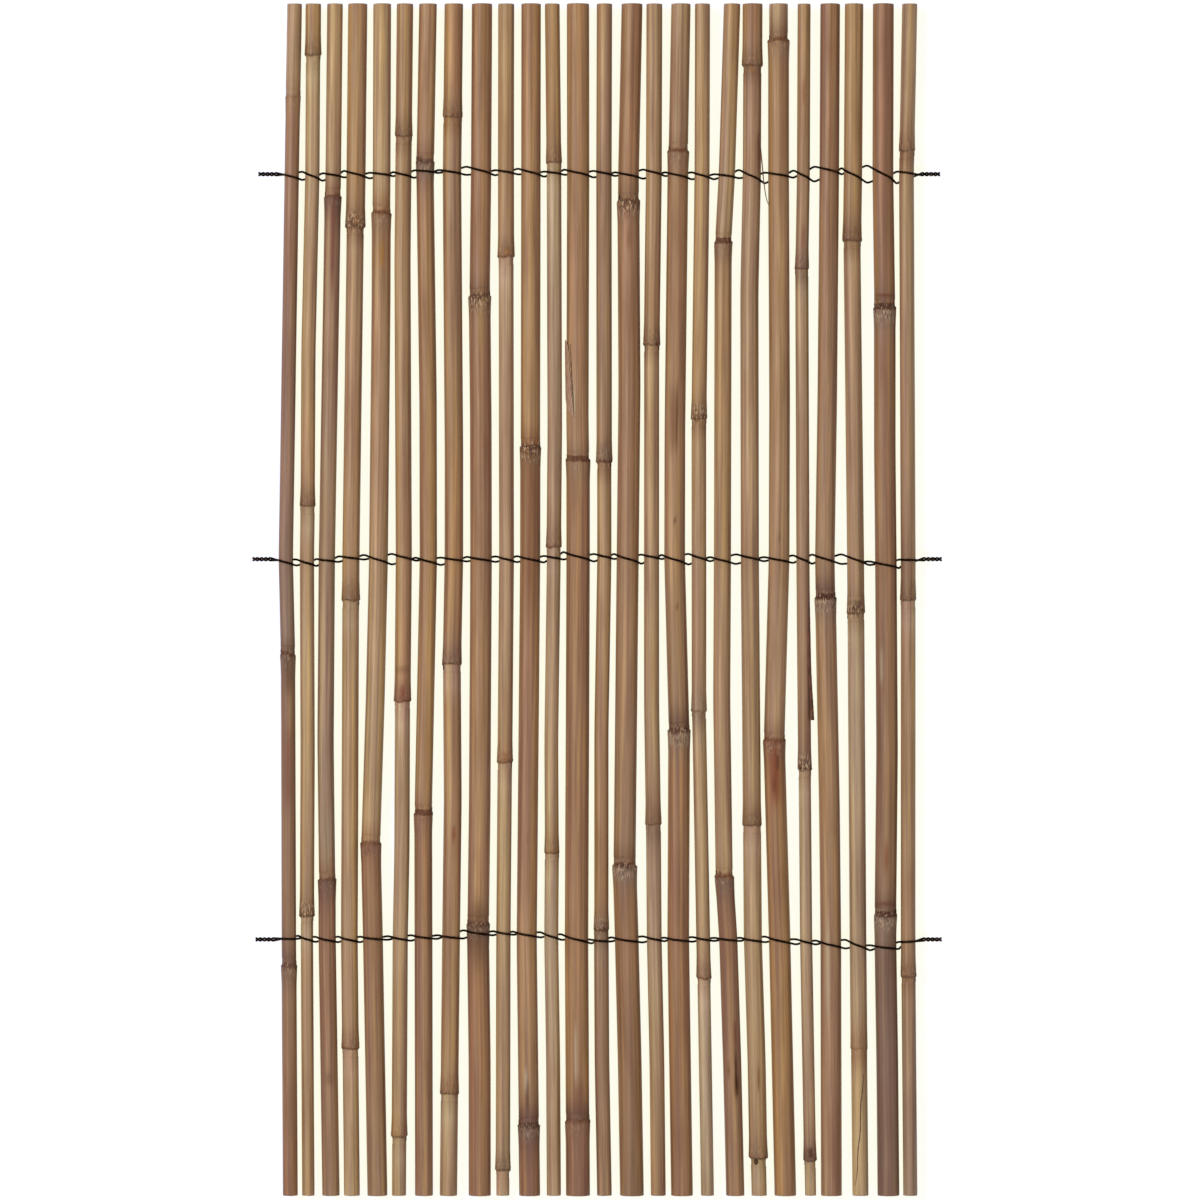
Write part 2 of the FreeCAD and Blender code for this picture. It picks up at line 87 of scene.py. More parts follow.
skinLook = {
    # Noise in the cane's own coordinates: width and length in millimetres, and detail
    "patterns": {
        "bands": (3.4, 150, 1.0),      # broad bands of hue that run along a cane
        "streaks": (1.3, 90, 1.0),     # narrow streaks within them
        "fibres": (0.40, 24, 3.0),     # the fibres under the skin; real ones are 0.1 mm, too fine to show
        "blotches": (5, 34, 3.0),      # patches of weather, drawn out along the cane
        "scabs": (0.55, 2.6, 3.0),     # torn stripes of the scar beside a ledge
        "crumbs": (0.60, 1.9, 2.0),    # crumbs of dried sheath on a ledge
        "pores": (0.3, 2, 2.0),        # the grain of bare pith
    },
    # Ramps of hue around bcbcbc, the grey that leaves a colour as it is: rose, plain, olive and amber
    "hues": {
        "bands": ((0.34, "b5adad"), (0.43, "bab7b7"), (0.50, "bdbcba"), (0.57, "bdbeb3"), (0.68, "c2bfac")),
        "streaks": ((0.28, "9f9796"), (0.44, "b6b2b1"), (0.56, "c2c1bd"), (0.72, "d5d4ca")),
        "fibres": ((0.30, "afadab"), (0.50, "bbbcbd"), (0.70, "c7c7c6")),
        "blotches": ((0.30, "b2adaa"), (0.52, "bcbcbc"), (0.72, "c2c1be")),
        "scabs": ((0.36, "a3978f"), (0.50, "bcbcbc"), (0.64, "d3cec6")),
    },
    # How a pattern becomes a share: from, to, and the share at the one and at the other
    "steps": {
        "stainFibres": ("fibres", 0.30, 0.60, 0.7, 1.0),
        "tornScar": ("scabs", 0.36, 0.60, 0.55, 1.0),
        "waxStripes": ("scabs", 0.38, 0.60, 0.9, 0.25),
        "ringStreaks": ("streaks", 0.35, 0.60, 1.0, 0.7),
        "crumbPale": ("crumbs", 0.55, 0.62, 0.0, 0.85),
        "crumbDark": ("crumbs", 0.44, 0.37, 0.0, 0.85),
        "budShade": ("bud", 0.3, 0.7, 0.0, 0.9),
        "pith": ("pores", 0.35, 0.65, 0.0, 1.0),
    },
    # Where a layer starts, is full, starts to fade and ends: millimetres from the ledge, butt side negative
    "windows": {
        "mottle": (-10.0, -1.0, 0.5, 8.0),
        "wax": (-9.0, -3.0, -1.8, -0.8),
        "crumbs": (-8.5, -2.5, 0.4, 3.4),
    },
    # The stained ring in millimetres from the ledge: where its butt side fades in, where its tip side fades
    # out on a cane that lies tip down or tip up, and how far each side moves out as the ring is broader
    "ringButt": (-0.6, -0.1),
    "ringTipDown": (0.1, 0.5),
    "ringTipUp": (0.8, 1.3),
    "ringBroader": (0.4, -0.7),
    # What the scar takes from the skin's colour, from 16 mm on the butt side of a ledge to 16 mm on its tip
    # side: the scab and the ledge, and the thin growth line 3.6 mm from the ledge. Part of the dark line at
    # the ledge is painted shade of the step. It is darker and sharper on a cane that lies tip down, whose
    # step faces away from the key light, than on one that lies tip up
    "scarReach": 16 * millimetre,
    "scarAndStepShadeTipDown": (
        (0.20, "ffffff"), (0.34, "e9e1d9"), (0.42, "dcd0c5"), (0.462, "cdbfb3"), (0.490, "b39f90"),
        (0.500, "7c6050"), (0.512, "ae9a89"), (0.530, "cdbfb0"), (0.600, "cabbab"), (0.6125, "b3a08f"),
        (0.625, "cdbfb0"), (0.70, "e0d6ca"), (0.82, "ffffff")),
    "scarAndStepShadeTipUp": (
        (0.18, "ffffff"), (0.34, "efe7e1"), (0.452, "dfd2c9"), (0.472, "ccbcb2"), (0.490, "a18a7e"),
        (0.515, "8d7266"), (0.530, "b39c8c"), (0.550, "d6c8bc"), (0.600, "dccfc4"), (0.6125, "c4af9f"),
        (0.626, "dccfc4"), (0.70, "ece2da"), (0.82, "ffffff")),
    "roughness": (0.60, 0.46),    # of weathered and of sound skin
    "crumbRoughness": 0.3,    # how much rougher crumbs are
    "shine": 0.60,
    "shineTint": "fff6e8",    # the skin's own yellow in its sheen
    "mattShine": 0.10,    # on stains, buds and the ring, which are torn or dirty
    "fibreRelief": 0.05 * millimetre,
    "crumbRelief": 0.3 * millimetre,
    "pith": "cdb48a",
    "pithShade": "9c7c56",
    "waxBloom": "a8927f",
    "crumbPale": "c6aa88",
    "crumbDark": "47302a",
    "budShade": "3b2014",
    "ringDark": "4b2f27",
    "ringRust": "7e4b33",
}


# Dried common reed, cut and laced unpeeled: a hard satin skin with lengthwise bands of straw, rose and
# brown, a brown scar and a ledge where each leaf sheath sat, and pale wax beside it
def buildReedMaterial():
    look = skinLook
    material, add = newMaterial("commonReedDriedUnpeeled")
    stored = {name: add("Attribute", attribute_name=name).outputs for name in (
        "grain", "tone", "mark", "ledge", "tipUp", "bud", "skin", "scarLook", "ringLook")}
    ledge, tipUp = stored["ledge"]["Fac"], stored["tipUp"]["Fac"]
    scarLook, ringLook = (add("SeparateXYZ", (stored[name]["Vector"],)).outputs
                          for name in ("scarLook", "ringLook"))
    patterns = {"bud": stored["bud"]["Fac"]}
    for name, (width, length, detail) in look["patterns"].items():
        across, along = 1 / (width * millimetre), 1 / (length * millimetre)
        spot = add("VectorMath", (stored["grain"]["Vector"], (across, along, across)), operation="MULTIPLY")
        noise = add("TexNoise", {"Vector": spot, "Scale": 1.0, "Detail": detail})
        patterns[name] = noise.outputs[0]

    def shareOf(*parts):    # sockets, steps (value, low, high, start, end) and named steps, multiplied
        total = None
        for part in parts:
            if isinstance(part, str):
                pattern, *limits = look["steps"][part]
                part = (patterns[pattern], *limits)
            if isinstance(part, tuple):
                part = add("MapRange", part, interpolation_type="SMOOTHSTEP")
            total = part if total is None else add("Math", (total, part), operation="MULTIPLY")
        return total

    def window(name, *parts):    # such a share that comes in and goes out beside the ledge
        start, full, fade, end = (place * millimetre for place in look["windows"][name])
        return shareOf((ledge, start, full, 0.0, 1.0), (ledge, fade, end, 1.0, 0.0), *parts)

    def laid(under, over, *parts, blend="MIX"):    # a colour over another, as strongly as its share says
        under, over = (linearColour(look[part]) if isinstance(part, str) else part for part in (under, over))
        share = shareOf(*parts)
        return add("Mix", {0: share, 6: under, 7: over}, data_type="RGBA", blend_type=blend)

    def shifted(colour, name):    # a colour shifted in hue by a pattern
        ramp = setStops(add("ValToRGB", (patterns[name],)), look["hues"][name])
        return laid(colour, ramp, 1.0, blend="OVERLAY")

    colour = stored["tone"]["Color"]
    for name in ("bands", "streaks", "fibres", "blotches"):
        colour = shifted(colour, name)
    stain = shareOf(stored["mark"]["Alpha"], "stainFibres")
    colour = laid(colour, stored["mark"]["Color"], stain)

    # The scar is read along the ledge's own distance: butt side negative, tip side positive
    colour = laid(colour, shifted(colour, "scabs"), window("mottle", scarLook[0]))
    along = add("MapRange", (ledge, -look["scarReach"], look["scarReach"], 0.0, 1.0))
    # The ramp follows which way the cane lies: the darker line at a tip-down cane's ledge is painted shade of
    # its step
    scarAndShadeRamps = [setStops(add("ValToRGB", (along,)), look[name]) for name in ("scarAndStepShadeTipDown", "scarAndStepShadeTipUp")]
    scarredAndShaded = laid(colour, laid(*scarAndShadeRamps, tipUp), 1.0, blend="MULTIPLY")
    colour = laid(colour, scarredAndShaded, "tornScar", scarLook[0])

    # Wax on the butt side of a ledge, where the sheath kept the rain off, rubbed away in stripes
    colour = laid(colour, "waxBloom", window("wax", scarLook[1], "waxStripes"))

    # A flat ring on the ledge, stained dark by sap and dirt
    lower, upper = (add("Math", (ringLook[2], broader * millimetre, ledge), operation="MULTIPLY_ADD")
                    for broader in look["ringBroader"])
    buttEdge = (edge * millimetre for edge in look["ringButt"])
    tipEdge = (add("MapRange", (tipUp, 0.0, 1.0, whenDown * millimetre, whenUp * millimetre))
               for whenDown, whenUp in zip(look["ringTipDown"], look["ringTipUp"]))
    ring = shareOf((lower, *buttEdge, 0.0, 1.0), (upper, *tipEdge, 1.0, 0.0), ringLook[0], "ringStreaks")
    colour = laid(colour, laid("ringDark", "ringRust", ringLook[1]), ring)

    # Crumbs of sheath, pale and dark, that thin out away from the ledge
    crumbWindow = window("crumbs", scarLook[2])
    for shade in ("crumbPale", "crumbDark"):
        colour = laid(colour, shade, shade, crumbWindow)
    bud = shareOf("budShade")
    colour = laid(colour, "budShade", bud)
    colour = laid(laid("pithShade", "pith", "pith"), colour, stored["skin"]["Fac"])    # cuts are bare pith

    gloss = add("MapRange", (patterns["blotches"], 0.3, 0.7, *look["roughness"]))
    gloss = add("Math", (crumbWindow, look["crumbRoughness"], gloss), operation="MULTIPLY_ADD")
    matt = stain
    for share in (ring, bud):
        matt = add("Math", (matt, share), operation="MAXIMUM")
    shine = add("MapRange", (matt, 0.0, 0.8, look["shine"], look["mattShine"]))
    relief = add("Bump", {"Height": patterns["fibres"], "Distance": look["fibreRelief"], "Strength": 0.5})
    relief = add("Bump", {"Height": shareOf(patterns["crumbs"], crumbWindow), "Strength": 0.7,
                          "Distance": look["crumbRelief"], "Normal": relief})
    shader = add("BsdfPrincipled", {
        "Base Color": colour, "Roughness": gloss, "Specular IOR Level": shine,
        "Specular Tint": linearColour(look["shineTint"]), "Normal": relief})
    add("OutputMaterial", (shader,))
    return material


sheathLook = {
    "streaks": (1400.0, 220.0, 1400.0),    # streaks 0.7 mm wide and 4.5 mm long
    "relief": 0.05 * millimetre,
    "roughness": 0.7,
    # Name, paler and darker brown
    "torn": ("driedLeafSheathTorn", "c9ad85", "4a3426"),
    "weathered": ("driedLeafSheathWeathered", "85523d", "4a2a20"),
    "split": ("reedSkinSplitRaw", "b18d70", "966f58"),
    # painted shade: the dark of the groove beside cane 13's sliver and inside cane 24's split
    "shadow": ("reedSplitPaintedShade", "4d3125", "281810"),
}


# Dried leaf sheath, torn at the ledge: thin papery fibre, matt, streaky from its paler to its darker brown.
# The same material in dark browns is the painted shade of the groove and split strips
def buildSheathMaterial(name, paler, darker):
    material, add = newMaterial(name)
    place = add("TexCoord").outputs["Object"]
    place = add("VectorMath", (place, sheathLook["streaks"]), operation="MULTIPLY")
    patches = add("TexNoise", {"Vector": place, "Scale": 1.0, "Detail": 3.0})
    colour = setStops(add("ValToRGB", (patches,)), ((0.35, darker), (0.65, paler)))
    relief = add("Bump", {"Height": patches, "Distance": sheathLook["relief"], "Strength": 0.7})
    shader = add("BsdfPrincipled", {
        "Base Color": colour, "Roughness": sheathLook["roughness"], "Normal": relief})
    add("OutputMaterial", (shader,))
    return material


reedSkin = buildReedMaterial()
sheaths = {kind: buildSheathMaterial(*sheathLook[kind]) for kind in ("torn", "weathered", "split", "shadow")}
print("reed materials made")


# The named inputs of the tree that grows a cane around its spine
caneForm = {
    "Sides": 40,
    "Ledge Wave": 0.6 * millimetre,    # how far the sheath scar wanders up and down
    "Ledge Swell": 0.27 * millimetre,
    "Bud Height": 0.25 * millimetre,
    "Scar Roughness": 0.14 * millimetre,
    "Oval": 0.012,    # share of the radius
    "Flute Depth": 0.07 * millimetre,
    "Fringe Density": 90000.0,    # torn fibres to a square metre of ledge
    "Fringe Length": 0.7 * millimetre,
}
# What else shapes a cane. Distances are from the ledge, towards the tip.
caneDetail = {
    # The swelling across a node: distance in millimetres, and height as a share. The skin swells slowly up
    # to the ledge and steps in there to a narrower neck.
    "profile": (
        (-9.0, 0.0), (-6.0, 0.30), (-3.0, 0.68), (-1.2, 0.95), (-0.35, 1.0), (0.0, 0.8), (0.35, -0.15),
        (1.0, -0.42), (2.4, -0.45), (3.3, -0.2), (3.6, 0.05), (4.4, 0.02), (9.0, 0.0)),
    "profileReach": 9.0 * millimetre,
    "profileFloor": -0.6,
    "neck": (-0.1 * millimetre, 0.9 * millimetre),    # where one internode's radius becomes the next's
    "budPlace": 1.5 * millimetre,
    "budHalf": 1.6 * millimetre,
    "budNarrowness": 13.0,
    "waveScale": 1.3,
    "scarScale": 900.0,    # noise cells to a metre
    "scarFade": (0.6 * millimetre, 5.0 * millimetre),
    "fluteScale": (500.0, 12.0, 500.0),
    "sawScale": 700.0,
    "fringePlace": -0.4 * millimetre,
    "fringeHalf": 0.6 * millimetre,    # how far to each side of that place fibres stand
    "fibreTip": 0.02 * millimetre,
    "fibreFoot": 0.16 * millimetre,
    "fibreTilt": ((-0.05, -0.3, -0.45), (0.4, 0.3, 0.45)),
    "fibreGrowth": ((0.5, 0.35, 0.6), (1.5, 1.2, 1.2)),
    "sharpAngle": 0.9,
    "apart": 0.05,    # the patterns of two canes lie this far apart
}


def buildCaneTree():
    tree = bpy.data.node_groups.new("reedCane", "GeometryNodeTree")
    add, detail = partial(addNode, tree), caneDetail
    kinds = {"Spine": "Geometry"} | dict.fromkeys(caneForm, "Float") | {
        "Sides": "Int", "Tip Side": "Float", "Seed": "Int", "Skin": "Material", "Sheath": "Material"}
    for name, kind in kinds.items():
        tree.interface.new_socket(name, in_out="INPUT", socket_type=f"NodeSocket{kind}")
    tree.interface.new_socket("Cane", in_out="OUTPUT", socket_type="NodeSocketGeometry")
    given = add("NodeGroupInput").outputs

    # A sheet with one row of points for each ring of the spine
    size = add("GeometryNodeAttributeDomainSize", {"Geometry": given["Spine"]}, component="MESH")
    rings = size.outputs["Point Count"]
    columns = add("Math", (given["Sides"], 1.0), operation="ADD")
    grid = add("GeometryNodeMeshGrid", {
        "Size X": 1.0, "Size Y": 1.0, "Vertices X": columns, "Vertices Y": rings})
    place = add("SeparateXYZ", (add("GeometryNodeInputPosition"),)).outputs
    turn = add("Math", (place["X"], fullTurn, fullTurn / 2), operation="MULTIPLY_ADD")
    lastRing = add("Math", (rings, 1.0), operation="SUBTRACT")
    ring = place["Y"]
    for operation, *others in (("ADD", 0.5), ("MULTIPLY", lastRing), ("ROUND",)):
        ring = add("Math", (ring, *others), operation=operation)

    def fromSpine(name, kind="FLOAT_VECTOR"):    # one of the spine's values, for the ring that a point is on
        source = add("GeometryNodeInputPosition") if name == "position" else add(
            "GeometryNodeInputNamedAttribute", {"Name": name}, data_type=kind)
        return add("GeometryNodeSampleIndex", {"Geometry": given["Spine"], "Value": source, "Index": ring},
                   data_type=kind, domain="POINT")

    centre, scarLook, ringLook = (fromSpine(name) for name in ("position", "scarLook", "ringLook"))
    span, wall, traits = (
        add("SeparateXYZ", (fromSpine(name),)).outputs for name in ("span", "wall", "traits"))
    toneButt, toneTip = (fromSpine(name, "FLOAT_COLOR") for name in ("toneButt", "toneTip"))
    sine, cosine = (add("Math", (turn,), operation=operation) for operation in ("SINE", "COSINE"))
    down = add("Math", (cosine, -1.0), operation="MULTIPLY")
    outwards = add("CombineXYZ", (sine, 0.0, down))

    # The ledge wanders up and down around the cane, in its own way at each node
    around = add("CombineXYZ", (sine, down, traits[0]))
    wander = add("TexNoise", {"Vector": around, "Scale": detail["waveScale"], "Detail": 3.0})
    wander = add("MapRange", (wander, 0.25, 0.75, -1.0, 1.0), clamp=False)
    shift = add("Math", (wander, given["Ledge Wave"], span[0]), operation="MULTIPLY_ADD")
    pastLedge = add("MapRange", (shift, *detail["neck"], 0.0, 1.0), interpolation_type="SMOOTHSTEP")
    radius = add("Mix", {0: pastLedge, 2: span[1], 3: span[2]}, data_type="FLOAT")

    profileReach, profileFloor = detail["profileReach"], detail["profileFloor"]
    onProfile = add("MapRange", (shift, -profileReach, profileReach, 0.0, 1.0))
    profile = add("FloatCurve", {"Value": onProfile})
    stops = profile.mapping.curves[0].points
    for number, (distance, height) in enumerate(detail["profile"]):
        spot = ((distance * millimetre / profileReach + 1) / 2, height - profileFloor)
        if 0 < number < len(detail["profile"]) - 1:
            stops.new(*spot)
        else:
            stops[0 if number == 0 else len(stops) - 1].location = spot
    profile.mapping.use_clip = False
    profile.mapping.update()
    swelling = profile
    for operation, *others in (
            ("ADD", profileFloor), ("MULTIPLY", given["Ledge Swell"]), ("MULTIPLY_ADD", traits[2], radius)):
        swelling = add("Math", (swelling, *others), operation=operation)

    # One bud at each node, on the tip side of its ledge
    pastBud = shift
    for operation, value in (
            ("SUBTRACT", detail["budPlace"]), ("MULTIPLY", 1 / detail["budHalf"]), ("POWER", 2.0)):
        pastBud = add("Math", (pastBud, value), operation=operation)
    bud = add("Math", (turn, traits[1]), operation="SUBTRACT")
    for operation, *others in (
            ("COSINE",), ("MULTIPLY_ADD", -1.0, 1.0), ("MULTIPLY_ADD", detail["budNarrowness"], pastBud),
            ("MULTIPLY", -1.0), ("EXPONENT",), ("MULTIPLY", traits[2])):
        bud = add("Math", (bud, *others), operation=operation)
    form = add("Math", (bud, given["Bud Height"], swelling), operation="MULTIPLY_ADD")

    # Rough scar close to the ledge, shallow flutes and a slightly oval section everywhere
    height = add("SeparateXYZ", (centre,)).outputs["Y"]
    reach = add("VectorMath", (outwards, radius), operation="MULTIPLY")
    local = add("CombineXYZ", (traits[0], height, 0.0))
    local = add("VectorMath", (reach, local), operation="ADD")
    closeness = add("Math", (shift,), operation="ABSOLUTE")
    closeness = add("MapRange", (closeness, *detail["scarFade"], 2.0, 0.0))
    rough = add("TexNoise", {"Vector": local, "Scale": detail["scarScale"], "Detail": 1.0})
    rough = add("Math", (rough, 0.5), operation="SUBTRACT")
    rough = add("Math", (rough, closeness), operation="MULTIPLY")
    flute = add("VectorMath", (local, detail["fluteScale"]), operation="MULTIPLY")
    flute = add("TexNoise", {"Vector": flute, "Scale": 1.0, "Detail": 1.0})
    flute = add("Math", (flute, 0.5), operation="SUBTRACT")
    for relief, depth in ((rough, "Scar Roughness"), (flute, "Flute Depth")):
        form = add("Math", (relief, given[depth], form), operation="MULTIPLY_ADD")
    lobes = add("Math", (turn, 2.0, given["Seed"]), operation="MULTIPLY_ADD")
    lobes = add("Math", (lobes,), operation="COSINE")
    lobes = add("Math", (lobes, given["Oval"], 1.0), operation="MULTIPLY_ADD")
    for operation, other in (("MULTIPLY", lobes), ("SUBTRACT", wall[0]), ("MULTIPLY", wall[1])):
        form = add("Math", (form, other), operation=operation)

    # The saw leaves the cut a little uneven, always inside the cane's length
    nick = add("TexNoise", {"Vector": local, "Scale": detail["sawScale"], "Detail": 2.0})
    nick = add("Math", (nick, wall[2]), operation="MULTIPLY")
    nick = add("CombineXYZ", (0.0, nick, 0.0))

    # What the skin's material reads: "grain" is the cane laid straight
    spot = add("VectorMath", (outwards, form), operation="MULTIPLY")
    apart = add("Math", (given["Seed"], detail["apart"]), operation="MULTIPLY")
    straight = add("CombineXYZ", (apart, height, 0.0))
    straight = add("VectorMath", (spot, straight), operation="ADD")
    tone = add("Mix", {0: pastLedge, 6: toneButt, 7: toneTip}, data_type="RGBA")
    skin = add("FunctionNodeCompare", (wall[0], 0.00001), data_type="FLOAT", operation="LESS_THAN")
    tipUp = add("FunctionNodeCompare", (given["Tip Side"], 0.0), data_type="FLOAT", operation="GREATER_THAN")
    sheet = grid.outputs["Mesh"]
    for name, kind, value in (
            ("tone", "FLOAT_COLOR", tone), ("grain", "FLOAT_VECTOR", straight), ("ledge", "FLOAT", shift),
            ("skin", "FLOAT", skin), ("bud", "FLOAT", bud), ("tipUp", "FLOAT", tipUp),
            ("scarLook", "FLOAT_VECTOR", scarLook), ("ringLook", "FLOAT_VECTOR", ringLook)):
        sheet = add("GeometryNodeStoreNamedAttribute", {"Geometry": sheet, "Name": name, "Value": value},
                    data_type=kind, domain="POINT")

    for way in (centre, nick):
        spot = add("VectorMath", (spot, way), operation="ADD")
    stem = add("GeometryNodeSetPosition", {"Geometry": sheet, "Position": spot})
    stem = add("GeometryNodeMergeByDistance", {"Geometry": stem, "Distance": 0.002 * millimetre})
    corner = add("GeometryNodeInputMeshEdgeAngle").outputs["Unsigned Angle"]
    sharp = add("FunctionNodeCompare", (corner, detail["sharpAngle"]), data_type="FLOAT",
                operation="GREATER_THAN")
    stem = add("GeometryNodeSetShadeSmooth", {"Geometry": stem, "Shade Smooth": True})
    stem = add("GeometryNodeSetShadeSmooth", {"Geometry": stem, "Selection": sharp, "Shade Smooth": False},
               domain="EDGE")
    stem = add("GeometryNodeSetMaterial", {"Geometry": stem, "Material": given["Skin"]})

    # Torn sheath fibres stand along the ledge and point to the tip
    atLedge = add("GeometryNodeInputNamedAttribute", {"Name": "ledge"}, data_type="FLOAT")
    atLedge = add("Math", (atLedge, detail["fringePlace"]), operation="SUBTRACT")
    atLedge = add("Math", (atLedge,), operation="ABSOLUTE")
    atLedge = add("FunctionNodeCompare", (atLedge, detail["fringeHalf"]), data_type="FLOAT",
                  operation="LESS_THAN")
    roots = add("GeometryNodeDistributePointsOnFaces", {
        "Mesh": stem, "Selection": atLedge, "Density": given["Fringe Density"], "Seed": given["Seed"]})
    fibre = add("GeometryNodeMeshCone", {
        "Vertices": 5, "Radius Top": detail["fibreTip"], "Radius Bottom": detail["fibreFoot"],
        "Depth": given["Fringe Length"]})
    fibre = add("GeometryNodeTransform", {
        "Geometry": fibre, "Rotation": (-fullTurn / 4, 0.0, 0.0), "Scale": (1.0, 0.4, 1.0)})
    tipWay = add("CombineXYZ", (0.0, given["Tip Side"], 0.0))
    lie = add("FunctionNodeAxesToRotation", {
        "Primary Axis": roots.outputs["Normal"], "Secondary Axis": tipWay},
        primary_axis="Z", secondary_axis="Y")
    tilt, growth = (add("FunctionNodeRandomValue", {"Min": low, "Max": high, "Seed": given["Seed"]},
                        data_type="FLOAT_VECTOR")
                    for low, high in (detail["fibreTilt"], detail["fibreGrowth"]))
    tilt = add("FunctionNodeEulerToRotation", (tilt,))
    lie = add("FunctionNodeRotateRotation", {"Rotation": lie, "Rotate By": tilt}, rotation_space="LOCAL")
    fringe = add("GeometryNodeInstanceOnPoints", {
        "Points": roots, "Instance": fibre, "Rotation": lie, "Scale": growth})
    fringe = add("GeometryNodeRealizeInstances", {"Geometry": fringe})
    fringe = add("GeometryNodeSetMaterial", {"Geometry": fringe, "Material": given["Sheath"]})
    whole = add("GeometryNodeJoinGeometry")
    for part in (fringe, stem):
        tree.links.new(part.outputs["Geometry"], whole.inputs["Geometry"])
    add("NodeGroupOutput", (whole,))
    return tree


toneHex = {
    "straw": "ad9071", "cream": "b39b80", "tan": "a68667", "honey": "a17d5a", "amber": "99724f",
    "rosy": "9c785b", "rust": "91694d", "russet": "88604a", "taupe": "957459", "ash": "98806a",
    "umber": "86654c", "plum": "745748", "olive": "9e805c", "paleStraw": "c0ab8d", "paleCream": "c8b49a",
    "blush": "c6aa95", "plumDark": "68453b", "umberDark": "6f5040", "knot": "8b6c50", "knotRosy": "886a59",
    "ashDark": "82695a",
}
# How a node looks, in shares: scar, wax, crumbs, stained ring, rust in the ring, breadth of the ring
nodeKinds = {
    "plainUp": (0.7, 0.15, 0.4, 0.5, 0.35, 0.2), "plainDown": (0.8, 0.0, 0.22, 0.2, 0.3, 0.0),
    "redLine": (0.7, 0.1, 0.2, 0.45, 0.75, 0.1), "rustRing": (0.6, 0.15, 0.3, 0.7, 0.8, 0.4),
    "darkRing": (0.8, 0.1, 0.3, 0.8, 0.3, 0.3), "waxed": (0.8, 0.55, 0.75, 0.5, 0.25, 0.4),
    "waxedDark": (0.8, 0.5, 0.75, 0.9, 0.1, 1.0), "crumbled": (0.9, 0.15, 0.95, 0.3, 0.4, 0.0),
    "plumRing": (0.8, 0.3, 0.4, 0.45, 0.1, 0.6), "brownRing": (0.6, 0.15, 0.15, 0.95, 0.4, 1.0),
    "faint": (0.4, 0.0, 0.08, 0.05, 0.5, 0.0),
}
markHex = {
    "plumRed": "7a4a3e", "soot": "5b4032", "nearBlack": "3a2822", "rustRed": "8a4a34", "amberSpot": "ae7c40",
    "paleScuff": "c2ad92", "yellow": "b4925c", "brown": "7c5236", "driedSap": "40201a", "goldKnot": "8e5f2c",
}
